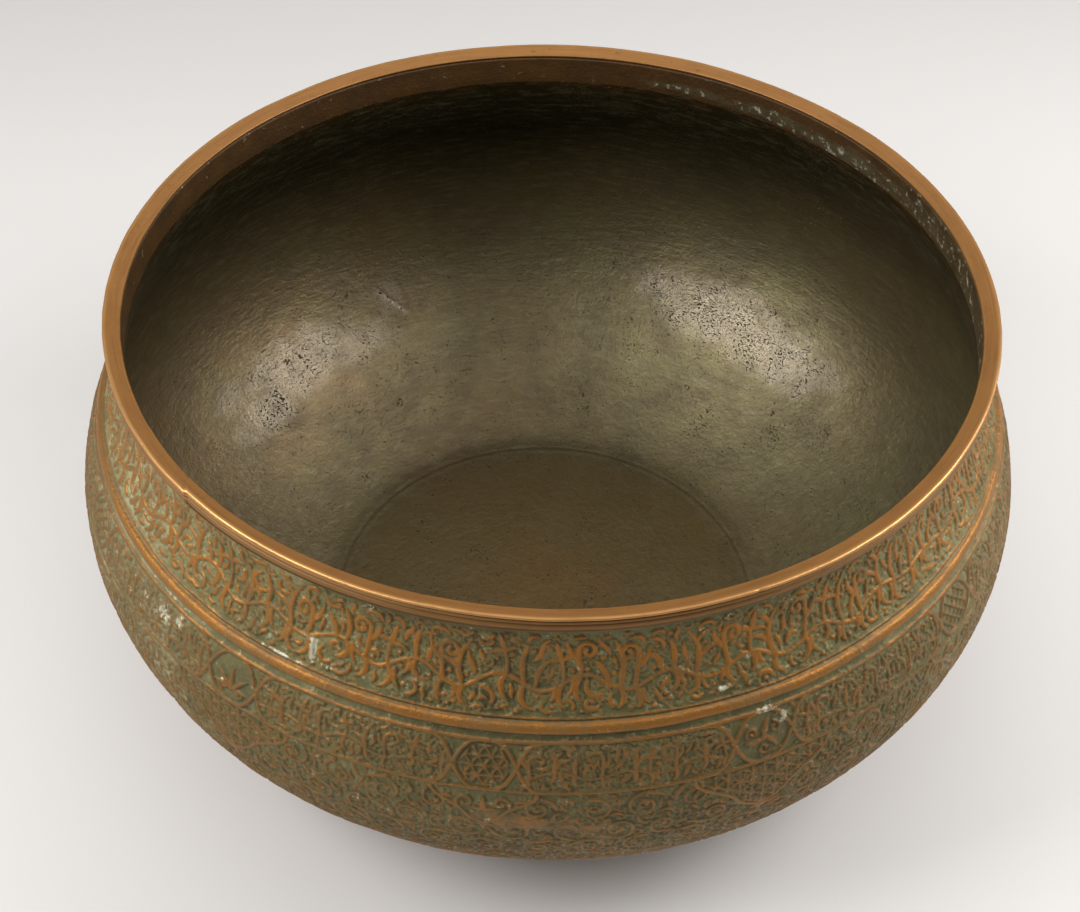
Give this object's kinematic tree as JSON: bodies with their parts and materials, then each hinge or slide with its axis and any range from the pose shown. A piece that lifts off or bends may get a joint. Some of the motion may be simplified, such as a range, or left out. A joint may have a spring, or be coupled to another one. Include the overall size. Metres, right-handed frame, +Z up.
{
  "type": "ornamented copper bowl",
  "caption": "Round hammered copper bowl with a narrow neck, moulded rim, girdle ridge, wide chased belly, flat base and tinned inside.",
  "frame": {"origin": "middle of the flat underside, on the surface that the bowl stands on", "axes": "+Z up along the bowl's axis; -Y is the front, and +X is to the right of someone who faces the front"},
  "size_m": [0.256, 0.256, 0.125],
  "materials": {
    "wall_copper": "hammered copper with dark green-grey patina in the chased ground",
    "rim_copper": "worn copper, satin from handling",
    "solder": "dull grey-yellow hard solder",
    "base_copper": "dark hammered copper",
    "tin": "aged olive-brown tin coat, dull with soft hammer facets"
  },
  "bodies": {
    "root": {"bowl_wall": "wall_copper", "rim_band": "rim_copper", "rim_solder": "solder", "rim_scarf_solder": "solder", "base_disc": "base_copper", "base_solder": "solder", "tin_lining": "tin"}
  },
  "joints": []
}
